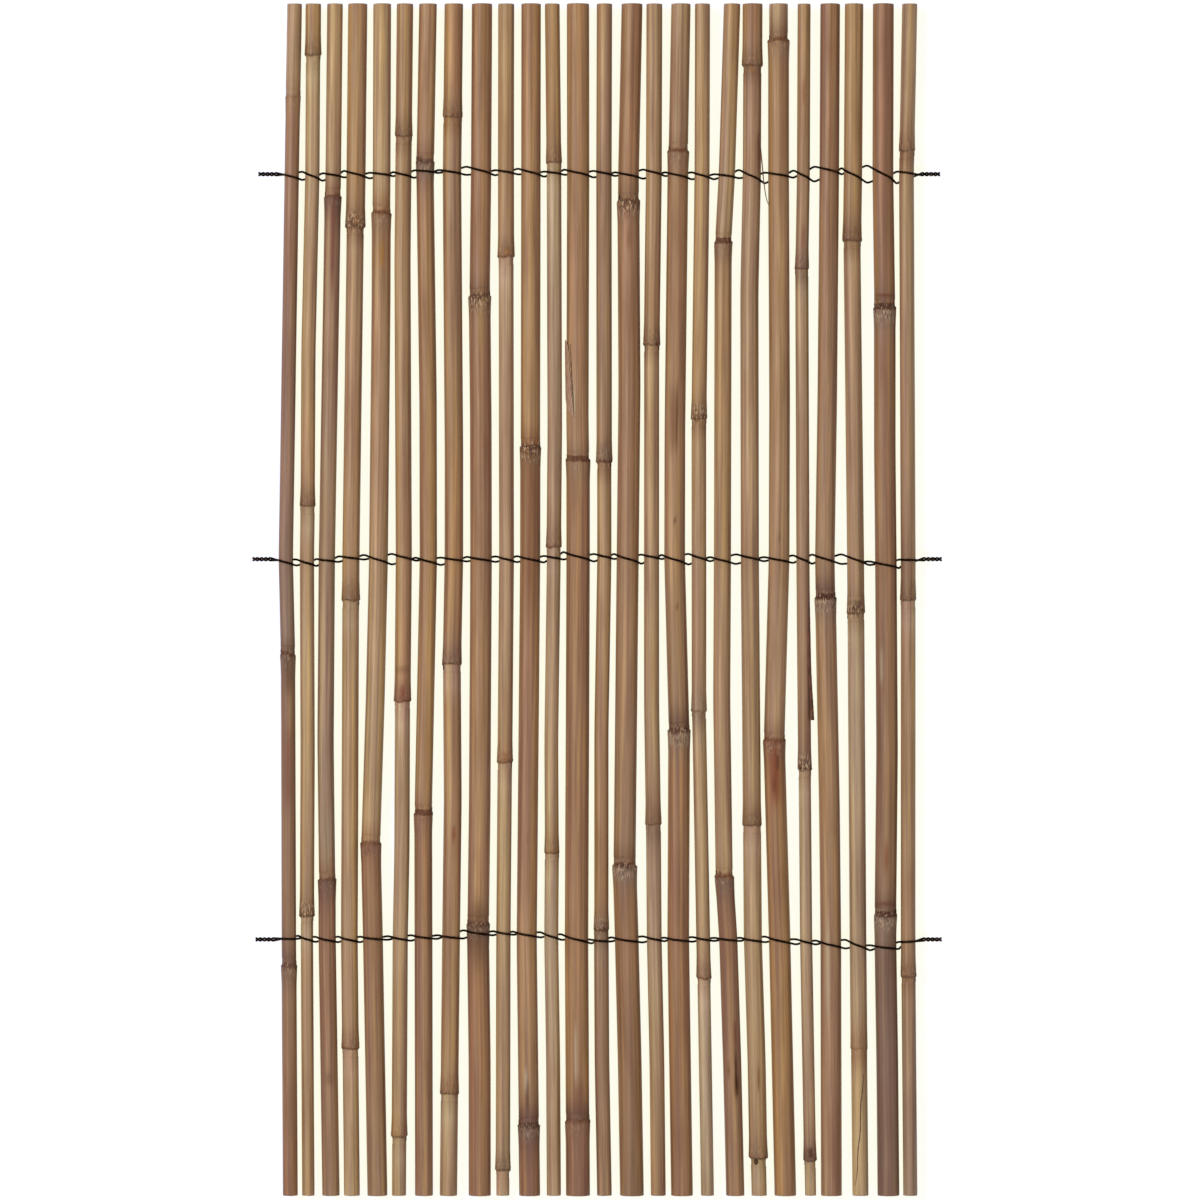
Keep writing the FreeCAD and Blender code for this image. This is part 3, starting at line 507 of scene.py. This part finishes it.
# The canes from the left, each from its head down. First where its first bud stands, in degrees from below;
# the next stands opposite. Then the tones at the top and at the bottom of each internode. Then its nodes:
# tone on the butt side, tone of the neck on the tip side, and kind. Last its stains and scuffs: top, bottom,
# side from -1 to 1, half width, colour and strength, in millimetres.
canes = {
    1: (80, "tan tan, rust ashDark, umber umber, umber rust",
        "rosy tan faint, ashDark ashDark darkRing, umberDark umberDark plainUp",
        (-21, -38, 0.1, 2.2, "soot", 0.5), (-55, -84, 0.1, 2.0, "plumRed", 0.4)),
    2: (95, "honey honey, straw honey, straw tan, tan tan",
        "knot paleStraw plainDown, knot paleStraw plainDown, knot paleCream crumbled"),
    3: (262, "tan tan, taupe ash, russet taupe",
        "plumDark taupe redLine, plumDark taupe redLine",
        (168.5, 130, 0.1, 1.0, "plumRed", 0.65), (-198, -203, 0.0, 2.0, "soot", 0.3)),
    4: (278, "honey honey, tan honey, tan tan, tan straw",
        "umber tan crumbled, knot paleStraw plainDown, taupe blush redLine",
        (161, 157, 0.1, 1.0, "amberSpot", 0.5), (160, 157, -0.4, 0.5, "brown", 0.4)),
    5: (85, "tan straw, honey straw, rust taupe",
        "taupe honey rustRing, russet tan redLine",
        (149, 140, 0.1, 0.9, "amberSpot", 0.6), (-103, -107, -0.3, 1.5, "plumRed", 0.4)),
    6: (100, "honey honey, tan honey, straw tan, cream straw",
        "knot tan plainDown, rust blush redLine, tan paleCream plainDown",
        (-28.7, -30.3, 0.0, 3.5, "soot", 0.35), (214.6, 213.4, 0.0, 3.5, "soot", 0.3),
        (-36, -42, 0.0, 1.3, "rustRed", 0.6), (193.8, 192.6, 0.5, 0.7, "paleScuff", 0.6)),
    7: (268, "honey honey, amber honey, rust rosy",
        "plum taupe plumRing, russet rosy brownRing",
        (186, 183.5, -0.6, 1.2, "soot", 0.6)),
    8: (75, "amber amber, taupe amber, honey honey, straw tan",
        "knot honey plainDown, knotRosy blush plainDown, taupe paleStraw plainDown",
        (-96, -101, 0.2, 0.7, "rustRed", 0.65), (204.5, 202.5, 0.1, 1.5, "brown", 0.4)),
    9: (98, "amber rust, rust rosy, rust rust",
        "knot umber crumbled, umberDark taupe plainUp",
        (121.5, 105, 0.0, 0.5, "yellow", 0.6), (-126, -153, 0.0, 3.0, "soot", 0.5)),
    10: (280, "tan honey, straw tan, straw tan, straw straw",
        "taupe blush plainDown, rosy blush redLine, ash blush plainDown",
        (147, 144.4, 0.1, 0.9, "amberSpot", 0.6), (-64, -68, 0.0, 1.4, "rustRed", 0.35)),
    11: (84, "amber honey, rust rosy, russet russet",
        "knot amber crumbled, plumDark plumDark plumRing",
        (-197, -206, -0.25, 0.6, "paleScuff", 0.8), (-203, -214, -0.1, 0.8, "driedSap", 0.4),
        (58, -4, 0.0, 3.6, "brown", 0.45), (-99, -101, 0.0, 0.7, "rustRed", 0.6)),
    12: (95, "honey honey, cream straw, straw straw, cream straw",
        "taupe paleStraw plainDown, taupe paleCream redLine, olive paleCream redLine"),
    13: (272, "amber honey, rust amber, russet russet",
        "knot taupe brownRing, russet umberDark redLine",
        (-180, -201, -0.1, 0.6, "paleScuff", 0.8), (88, 77, -0.33, 0.25, "paleScuff", 0.7),
        (-202, -216, 0.1, 2.4, "plumRed", 0.35)),
    14: (110, "taupe taupe, tan amber, taupe taupe",
        "umber taupe plumRing, knot ash plumRing",
        (66, 59, 0.2, 1.4, "soot", 0.25), (-135.5, -139, 0.4, 0.8, "soot", 0.6)),
    15: (250, "amber amber, rust taupe, rust umber",
        "umber knot crumbled, ashDark umber waxed",
        (155, 148, 0.0, 1.0, "brown", 0.35)),
    16: (100, "tan honey, tan tan, cream honey",
        "knot straw plainDown, knot ash faint",
        (107.6, 106.2, 0.6, 0.5, "soot", 0.7)),
    17: (265, "tan taupe, amber taupe, rust rust",
        "umber taupe rustRing, ashDark umberDark waxed",
        (88, 63, -0.25, 1.5, "brown", 0.5), (87, 64, 0.15, 0.5, "soot", 0.6),
        (34, 32, 0.0, 0.5, "driedSap", 0.6), (-2, -4, 0.1, 0.5, "driedSap", 0.5)),
    18: (88, "tan honey, tan tan, straw tan, cream cream",
        "knot tan crumbled, ash ash faint, taupe blush redLine"),
    19: (35, "honey straw, honey tan, russet rosy",
        "umber straw brownRing, plum straw rustRing",
        (-189, -207.5, 0.38, 0.75, "driedSap", 1.0), (-177, -187, 0.4, 0.8, "plumRed", 0.8),
        (-200, -207, 0.42, 0.9, "driedSap", 0.8), (-195, -199.5, -0.42, 0.6, "brown", 0.8),
        (-114.4, -117, 0.45, 0.9, "amberSpot", 0.5), (-113.8, -116.2, -0.5, 0.6, "nearBlack", 0.6)),
    20: (200, "amber honey, tan tan, straw tan, tan tan",
        "knot taupe plainDown, knot blush plainDown, taupe paleStraw redLine",
        (-196, -205, 0.15, 0.5, "brown", 0.8), (194, 179, 0.65, 0.8, "plumRed", 0.6),
        (224.6, 222.8, -0.25, 0.6, "goldKnot", 0.9), (222.8, 221.2, -0.05, 0.6, "amberSpot", 0.7)),
    21: (262, "straw straw, amber tan, amber amber",
        "taupe knot rustRing, russet taupe rustRing",
        (-61, -84, 0.0, 2.4, "rustRed", 0.68), (-65, -71, 0.25, 0.6, "nearBlack", 0.5),
        (-75, -81, -0.2, 0.5, "nearBlack", 0.5), (28, 26, 0.0, 0.5, "driedSap", 0.5)),
    22: (270, "honey taupe, straw taupe, cream tan, straw straw",
        "knotRosy ash plainDown, knotRosy paleCream crumbled, knotRosy paleCream plainDown",
        (218, 208, 0.0, 0.7, "rustRed", 0.4), (156, 148, 0.1, 0.7, "rustRed", 0.4),
        (-70.2, -71.8, -0.7, 0.5, "nearBlack", 0.7), (-230, -234.2, 0.05, 1.7, "soot", 0.6)),
    23: (95, "rust taupe, rosy rosy",
        "ashDark umberDark waxedDark",
        (-138, -172, -0.35, 0.6, "paleScuff", 0.8)),
    24: (88, "honey honey, tan tan, cream straw, straw straw",
        "umber tan plainDown, knot paleStraw crumbled, rosy rosy faint",
        (-0.5, -2.2, 0.3, 0.5, "nearBlack", 0.5), (-2.6, -4.4, -0.3, 0.5, "nearBlack", 0.5)),
    25: (278, "rust rust, rust umber, plum plum",
        "ashDark umber waxedDark, ashDark umberDark waxedDark",
        (-21, -34, -0.5, 0.7, "paleScuff", 0.5), (-103, -113, 0.0, 0.8, "rustRed", 0.5),
        (128.2, 126.8, 0.0, 5.0, "plumRed", 0.5), (-126.6, -128, 0.0, 5.0, "plumRed", 0.5)),
    26: (100, "tan tan, tan taupe, tan rosy, taupe ash",
        "taupe rosy plainDown, knot blush plainDown, knot tan plainDown",
        (-154, -160, -0.3, 0.5, "brown", 0.5)),
}
turnedBuds = {(20, 1): 20, (19, 2): 258}      # cane and node: degrees of a bud that doesn't follow the rule
faintNodes = {(24, 3): 0.3, (1, 1): 0.7}      # cane and node: how strongly its swelling shows
nodeTint = {"strength": 0.9, "near": 4 * millimetre, "far": 22 * millimetre}    # how far a node's tones reach
spineForm = {
    "step": 2.4 * millimetre,    # from ring to ring along the skin
    "nodeSteps": ((9.0, 15, 0.6), (3.3, 13, 0.25)),    # closer at a node: cleared, rings to a side, step
    "boreStep": 18 * millimetre,
    "boreEnd": 4 * millimetre,
    "diaphragm": 0.75 * millimetre,    # half its thickness
    "edge": 0.18 * millimetre,    # the cut edge is broken this much
    "sawCut": 0.25 * millimetre,    # how uneven the cut is
    "bend": 5 * millimetre,    # the bends are eased over this much to each side
    "scarEnd": 25 * millimetre,    # a scar shows only this close to its own ledge
    "swelling": (3.0, 1.2),    # the CAD ring's length on the butt and on the tip side
    "circlePoints": 40,    # a circle of the CAD cane has more points than this
    "halfLength": 250 * millimetre,
}
markForm = {"stretch": 1.15, "boost": 1.35, "most": 0.95, "end": 1.4}    # how a mark fades out at its edges


def pointsOf(mesh):    # a mesh's points, a row for each
    points = np.empty(len(mesh.vertices) * 3, np.float32)
    mesh.vertices.foreach_get("co", points)
    return points.reshape(-1, 3)


def readCane(node, tipUp):    # the CAD cane's circles, from the head down: height, middle, radius
    points = pointsOf(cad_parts[node].data).astype(float)
    levels = []
    for height in sorted(set(np.round(points[:, 1], 5)), reverse=True):
        ring = points[np.abs(points[:, 1] - height) < 0.02 * millimetre]
        if len(ring) > spineForm["circlePoints"]:
            low, high = ring[:, 0].min(), ring[:, 0].max()
            levels.append((height, (low + high) / 2, (high - low) / 2))
    middle = (points[:, 2].min() + points[:, 2].max()) / 2
    # A circle of the bore is much smaller than the circles of the skin beside it
    outer = [level for number, level in enumerate(levels) if number in (0, len(levels) - 1) or
             level[2] > min(levels[number - 1][2], levels[number + 1][2]) - 0.5 * millimetre]
    bores = [level for level in levels if level not in outer]
    feet = spineForm["swelling"][::-1 if tipUp else 1]
    places = [number for number in range(1, len(outer) - 1) if all(
        abs(outer[number + step][0] - outer[number + step + 1][0] - foot * millimetre) < 0.1 * millimetre
        for step, foot in zip((-1, 0), feet))]
    return outer, bores, places, middle


def mixTones(first, second, share):
    return [a + (b - a) * share for a, b in zip(first, second)]


def spineOf(number, firstBud, tones, nodes):    # all rings of a cane: bore, head rim, skin, foot rim, bore
    tipUp = number % 2 == 1    # the canes lie tip up and tip down in turn
    buttFirst = -1 if tipUp else 1
    outer, bores, places, middle = readCane(f"cane_{number:02d}", tipUp)
    head, foot = outer[0][0], outer[-1][0]
    ledges = [outer[place][0] for place in places]
    radii = [outer[place - 1][2] for place in places] + [outer[places[-1] + 1][2]]
    wall = radii[0] - bores[0][2]
    heights, middles = (np.array([level[part] for level in outer])[::-1] for part in (0, 1))
    easing = np.linspace(-1, 1, 9) * spineForm["bend"]

    def centreAt(height):
        spots = np.clip(height + easing, foot, head)
        return float(np.mean(np.interp(spots, heights, middles)))

    def radiusAt(height):
        return radii[sum(height < ledge for ledge in ledges)]

    step, edge = spineForm["step"], spineForm["edge"]
    skin = set(np.round(np.arange(foot + step, head - step / 2, step), 6))
    for ledge in ledges:
        for cleared, count, closer in spineForm["nodeSteps"]:
            skin = {height for height in skin if abs(height - ledge) > cleared * millimetre}
            skin |= set(np.round(ledge + np.arange(-count, count + 1) * (closer * millimetre), 6))
    skin = sorted((height for height in skin if foot + millimetre < height < head - millimetre), reverse=True)
    boreEnd, diaphragm, step = (spineForm[name] for name in ("boreEnd", "diaphragm", "boreStep"))
    boreHead = np.arange(ledges[0] + diaphragm, head - boreEnd, step)
    boreFoot = np.arange(ledges[-1] - diaphragm, foot + boreEnd, -step)[::-1]

    # Each ring: height, inset from the skin, 0 at a closed pole, unevenness of the saw cut
    def cutEnd(end, way):    # from the bore over the sawn rim to the skin
        return [(end + way * 2 * millimetre, wall, 1, 0), (end, wall, 1, way), (end, wall / 2, 1, way),
                (end, edge, 1, way), (end + way * edge, 0, 1, way), (end + way * 3 * edge, 0, 1, 0)]

    rings = [(boreHead[0], wall, 0, 0)] + [(height, wall, 1, 0) for height in boreHead]
    rings += cutEnd(head, -1) + [(height, 0, 1, 0) for height in skin] + cutEnd(foot, 1)[::-1]
    rings += [(height, wall, 1, 0) for height in boreFoot] + [(boreFoot[-1], wall, 0, 0)]

    tones = [[linearColour(toneHex[name]) for name in pair.split()] for pair in tones.split(", ")]
    nodes = [node.split() for node in nodes.split(", ")]
    limits = [head] + ledges + [foot]
    rows = {name: [] for name in ("span", "wall", "traits", "scarLook", "ringLook", "toneButt", "toneTip")}
    for height, inset, opened, sawn in rings:
        near = int(np.argmin([abs(height - ledge) for ledge in ledges]))
        away = height - ledges[near]
        fade = min(max((abs(away) - nodeTint["near"]) / (nodeTint["far"] - nodeTint["near"]), 0), 1)
        fade = nodeTint["strength"] * (1 - fade) ** 2
        sides = []
        for internode, tint in zip((near, near + 1), nodes[near][:2][::buttFirst]):
            top, bottom = limits[internode:internode + 2]
            share = min(max((top - height) / (top - bottom), 0), 1)
            sides.append(mixTones(mixTones(*tones[internode], share), linearColour(toneHex[tint]), fade))
        budTurn = math.radians(turnedBuds.get((number, near + 1), firstBud + 180 * near))
        # Halfway between two nodes the distance changes its sign, so a scar may only show close to its own
        shown = float(abs(away) < spineForm["scarEnd"])
        shares = [shown * share for share in nodeKinds[nodes[near][2]]]
        row = ((-buttFirst * away, *radii[near:near + 2][::buttFirst]),
               (inset, opened, sawn * spineForm["sawCut"]),
               (number * 7.31 + near * 2.17, budTurn, faintNodes.get((number, near + 1), 1.0)),
               shares[:3], shares[3:], *sides[::buttFirst])
        for name, values in zip(rows, row):
            rows[name].append(values)
    mesh = bpy.data.meshes.new(f"spine_{number:02d}")
    mesh.from_pydata([(centreAt(ring[0]), ring[0], middle) for ring in rings], [], [])
    for name, values in rows.items():
        kind, part = ("FLOAT_COLOR", "color") if name.startswith("tone") else ("FLOAT_VECTOR", "vector")
        mesh.attributes.new(name, kind, "POINT").data.foreach_set(part, np.ravel(values))
    return mesh, tipUp, (centreAt, radiusAt, middle)


def grow(name, seedMesh, tree, values):    # a mesh as a node tree makes it, with nothing left live
    piece = bpy.data.objects.new(name, seedMesh)
    bpy.context.scene.collection.objects.link(piece)
    modifier = piece.modifiers.new(name, "NODES")
    modifier.node_group = tree
    for item in tree.interface.items_tree:
        if item.in_out == "INPUT" and item.name in values:
            modifier[item.identifier] = values[item.name]
    depsgraph = bpy.context.evaluated_depsgraph_get()
    made = bpy.data.meshes.new_from_object(
        piece.evaluated_get(depsgraph), preserve_all_data_layers=True, depsgraph=depsgraph)
    piece.modifiers.remove(modifier)
    piece.data = made
    bpy.data.meshes.remove(seedMesh)
    return piece


def addMarks(mesh, shape, marks):    # stains and streaks, each fading out at its edges
    centreAt, _, middle = shape
    points = pointsOf(mesh)
    count = len(points)
    levels = np.linspace(-spineForm["halfLength"], spineForm["halfLength"], 501)
    middles = np.array([centreAt(level) for level in levels])
    across = points[:, 0] - np.interp(points[:, 1], levels, middles)
    up = points[:, 2] - middle
    radius = np.hypot(across, up)
    angle = np.arctan2(across, up)
    colours = np.zeros((count, 4), np.float32)
    for top, bottom, side, width, tone, strength in marks:
        reach = markForm["stretch"] * ((top - bottom) / 2 * millimetre)
        along = np.abs(points[:, 1] - (top + bottom) / 2 * millimetre) / reach
        aside = np.abs(angle - math.asin(side)) * radius / (width * millimetre)
        weight = min(markForm["boost"] * strength, markForm["most"]) * np.exp(-aside ** 2 - along ** 4)
        weight[along > markForm["end"]] = 0
        colour = np.array(linearColour(markHex[tone])[:3])
        total = colours[:, 3] + weight * (1 - colours[:, 3])
        share = np.divide(weight, total, out=np.zeros(count), where=total > 0)[:, None]
        colours[:, :3] = colours[:, :3] * (1 - share) + colour * share
        colours[:, 3] = total
    mesh.attributes.new("mark", "FLOAT_COLOR", "POINT").data.foreach_set("color", colours.ravel())


caneTree = buildCaneTree()
caneShapes = {}
for number, (firstBud, tones, nodes, *marks) in canes.items():
    seedMesh, tipUp, caneShapes[number] = spineOf(number, firstBud, tones, nodes)
    values = caneForm | {
        "Tip Side": 1.0 if tipUp else -1.0, "Seed": number, "Skin": reedSkin, "Sheath": sheaths["torn"]}
    piece = grow(f"reedCane_{number:02d}", seedMesh, caneTree, values)
    addMarks(piece.data, caneShapes[number], marks)
    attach(piece, "root")
    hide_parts(f"cane_{number:02d}")
print("canes grown")


# Torn strips, and two dark strips of painted shade: cane, kind of sheath, thickness and path. The path runs
# along the cane, in millimetres and degrees from the top: height, angle, lift off the skin, half width.
tornStrips = {
    "sheathStrip_22": (22, "weathered", 0.25, (
        (2.5, 58, 0.0, 0.5), (-10, 57, 0.05, 1.1), (-28.6, 58, 0.25, 1.3),
        (-37.9, 60, 0.7, 1.1), (-45, 57, 1.2, 1.2), (-50.5, 56, 1.5, 1.3))),
    "skinSliver_13": (13, "split", 0.28, (
        (108.9, -82, 0.35, 0.5), (106.4, -76, 0.35, 2.4), (95, -70, 0.28, 2.7),
        (85.4, -60, 0.15, 2.7), (79.6, -40, 0.05, 1.5), (76.6, -18, 0.0, 0.15))),
    # Painted shadow: a dark strip beside the raised sliver stands for the shade in the groove next to it
    "skinGroovePaintedShadow_13": (13, "shadow", 0.12, (
        (107, -40, 0.0, 0.12), (95, -32, 0.0, 0.2), (85.4, -23, 0.0, 0.2),
        (79, -19, 0.0, 0.16), (76, -16, 0.0, 0.08))),
    # Painted shade: a dark ribbon on the skin stands for the shade inside the old split, which is not cut
    # into the cane
    "oldSplitPaintedShade_24": (24, "shadow", 0.10, (
        (-199, 30, 0.0, 0.06), (-206.5, 17, 0.0, 0.2), (-212, 4, 0.0, 0.2), (-223, 1, 0.0, 0.2),
        (-231, -18, 0.0, 0.2), (-240, -24, 0.0, 0.2), (-245.5, -38, 0.0, 0.08))),
}
stripForm = {"rows": 90, "sunk": 0.02, "sides": (-1, -0.85, -0.4, 0, 0.4, 0.85, 1), "thinnerAtEdge": 0.55}
# A splinter that leaves cane 20 and crosses the gap beside it: X, Y and Z of its line, in millimetres
splinter = {
    "line": ((67.9, 195, 9.3), (68.6, 188, 8.8), (69.3, 181, 8.5), (69.7, 176, 8.7), (70.5, 170, 8.8),
             (71.2, 167, 8.8), (72.1, 164.7, 8.7)),
    "rows": 60,
    "thickness": 0.45,
}


def eased(stops, count):    # rows between the stops of a path, with its corners rounded
    stops = np.array(stops, float)
    spots = np.linspace(0, len(stops) - 1, count)
    rows = np.stack([np.interp(spots, np.arange(len(stops)), column) for column in stops.T], axis=1)
    padded = np.concatenate([2 * rows[0] - rows[5:0:-1], rows, 2 * rows[-1] - rows[-2:-7:-1]])
    return np.stack([np.convolve(column, np.full(11, 1 / 11), mode="valid") for column in padded.T], axis=1)


def skinOver(name, rings, material):    # a closed body over a row of rings
    size, points = len(rings[0]), [point for ring in rings for point in ring]
    faces = [(low + place, low + (place + 1) % size, low + size + (place + 1) % size, low + size + place)
             for low in range(0, len(points) - size, size) for place in range(size)]
    faces += [tuple(range(size - 1, -1, -1)), tuple(range(len(points) - size, len(points)))]
    mesh = bpy.data.meshes.new(name)
    mesh.from_pydata(points, [], faces)
    mesh.shade_smooth()
    mesh.materials.append(material)
    piece = bpy.data.objects.new(name, mesh)
    bpy.context.scene.collection.objects.link(piece)
    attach(piece, "root")
    return piece


def stripRings(shape, depth, path):    # rings across a strip that follows the cane's own curve
    centreAt, radiusAt, middle = shape
    sides, rings = stripForm["sides"], []
    for row, (height, angle, lift, half) in enumerate(eased(path, stripForm["rows"])):
        height *= millimetre
        under = radiusAt(height) + (lift - stripForm["sunk"]) * millimetre
        half *= millimetre * (1 + 0.10 * math.sin(row * 0.9) + 0.06 * math.sin(row * 2.3))    # an uneven edge
        places = [(side, depth * millimetre * (1 - stripForm["thinnerAtEdge"] * side ** 4)) for side in sides]
        places += [(side, 0.0) for side in reversed(sides)]
        rings.append([])
        for side, rise in places:
            turn = math.radians(angle) + side * half / under
            rings[-1].append((centreAt(height) + (under + rise) * math.sin(turn), height,
                              middle + (under + rise) * math.cos(turn)))
    return rings


def splinterRings(line, rows, thickness):    # rings around a thread that thins towards its end
    rings = []
    for number, (x, y, z) in enumerate(eased(line, rows) * millimetre):
        share = number / (rows - 1)
        thick = thickness / 2 * millimetre * min(1.3 - 0.6 * share, 0.25 + 4 * (1 - share))
        turns = [corner * fullTurn / 8 for corner in range(8)]
        rings.append([(x + thick * math.cos(turn), y, z + thick * math.sin(turn)) for turn in turns])
    return rings


for name, (cane, kind, depth, path) in tornStrips.items():
    skinOver(name, stripRings(caneShapes[cane], depth, path), sheaths[kind])
skinOver("hairSplinter_20", splinterRings(**splinter), sheaths["weathered"])
print("strips and splinters laid")


wireLook = {
    "oxide": ((0.35, "0f0703"), (0.55, "1a0d05"), (0.75, "38210c")),
    "oxideScale": 500.0,
    "roughness": (0.72, 0.50),
    "relief": 0.04 * millimetre,
    "metallic": 0.5,
    "shine": 0.04,
}


# Black annealed steel wire, drawn and then softened in the furnace: a thin oxide, nearly black, that
# shows brown where it is rubbed and hardly shines
def buildWireMaterial():
    material, add = newMaterial("blackAnnealedSteelWireDrawn")
    place = add("TexCoord").outputs["Object"]
    oxide = add("TexNoise", {"Vector": place, "Scale": wireLook["oxideScale"], "Detail": 4.0})
    colour = setStops(add("ValToRGB", (oxide,)), wireLook["oxide"])
    gloss = add("MapRange", (oxide, 0.3, 0.7, *wireLook["roughness"]))
    relief = add("Bump", {"Height": oxide, "Distance": wireLook["relief"], "Strength": 0.5})
    shader = add("BsdfPrincipled", {
        "Base Color": colour, "Metallic": wireLook["metallic"], "Specular IOR Level": wireLook["shine"],
        "Roughness": gloss, "Normal": relief})
    add("OutputMaterial", (shader,))
    return material


annealedWire = buildWireMaterial()
for name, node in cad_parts.items():
    if "wire" in name:
        node.data.materials.clear()
        node.data.materials.append(annealedWire)
print("wires finished")


studio = {
    "floorSize": 6.0,
    "floorGlow": "fdfadc",    # the floor's own light; the light that falls on it makes up the rest to white
    "floorTakes": 2.1,        # how much of that light it takes up, so that it is white away from the canes
    "floorThrown": "cfcfcb",  # what it throws back at the canes
    "keyPower": 25.6,
    "keySize": 0.8,
    "keyPlace": (-1.15, 0.6, 1.6),
    "fillPower": 9.0,
    "fillSize": 1.0,
    "fillPlace": (0.35, -0.9, 2.2),
    "skyStrength": 0.25,
    "lens": 200.0,
    "sensor": 36.0,
    "lookAt": (0.0012, -0.00013, 0.00606),    # the middle of the picture, on the canes' middle plane
    "frameWidth": 0.50335,                    # how much of that plane the picture takes in
}


def seenDirectly(add, *rays):    # 1 for rays of these kinds
    path = add("LightPath").outputs
    share = path[rays[0]]
    for ray in rays[1:]:
        share = add("Math", (share, path[ray]), operation="MAXIMUM")
    return share


def buildFloorMaterial():    # matt white paper sweep: it keeps a faint shadow and throws little light back
    material, add = newMaterial("whitePaperMatt")
    direct = seenDirectly(add, "Is Camera Ray", "Is Glossy Ray", "Is Transmission Ray")
    thrown = add("BsdfDiffuse", {"Color": linearColour(studio["floorThrown"])})
    own = linearColour(studio["floorGlow"])
    rest = tuple(min(studio["floorTakes"] * (1 - part), 1.0) for part in own[:3])
    shaded = add("BsdfDiffuse", {"Color": rest + (1,)})
    glow = add("Emission", {"Color": own, "Strength": 1.0})
    white = add("AddShader", (shaded, glow))
    add("OutputMaterial", (add("MixShader", (direct, thrown, white)),))
    return material


half = studio["floorSize"] / 2
floorMesh = bpy.data.meshes.new("floor")
floorMesh.from_pydata([(-half, -half, 0), (half, -half, 0), (half, half, 0), (-half, half, 0)], [],
                      [(0, 1, 2, 3)])
floor = bpy.data.objects.new("floor", floorMesh)
bpy.context.scene.collection.objects.link(floor)
floorMesh.materials.append(buildFloorMaterial())

world = bpy.data.worlds.new("studio")
world.use_nodes = True
world.node_tree.nodes.clear()
add = partial(addNode, world.node_tree)
direct = seenDirectly(add, "Is Camera Ray", "Is Glossy Ray")
level = add("MapRange", (direct, 0.0, 1.0, studio["skyStrength"], 1.0))
sky = add("Background", {"Color": linearColour("ffffff"), "Strength": level})
add("OutputWorld", (sky,))
bpy.context.scene.world = world

for name in ("key", "fill"):
    lamp = bpy.data.lights.new(name, "AREA")
    lamp.energy = studio[f"{name}Power"]
    lamp.size = studio[f"{name}Size"]
    holder = bpy.data.objects.new(name, lamp)
    holder.location = studio[f"{name}Place"]
    holder.rotation_euler = (-holder.location).to_track_quat("-Z", "Y").to_euler()
    bpy.context.scene.collection.objects.link(holder)

camera = bpy.data.cameras.new("camera")
camera.lens = studio["lens"]
camera.sensor_width = studio["sensor"]
camera.clip_end = 20.0
cameraHolder = bpy.data.objects.new("camera", camera)
x, y, z = studio["lookAt"]
cameraHolder.location = (x, y, z + studio["frameWidth"] * studio["lens"] / studio["sensor"])
bpy.context.scene.collection.objects.link(cameraHolder)
bpy.context.scene.camera = cameraHolder
bpy.context.scene.view_settings.view_transform = "Standard"
print("studio set")
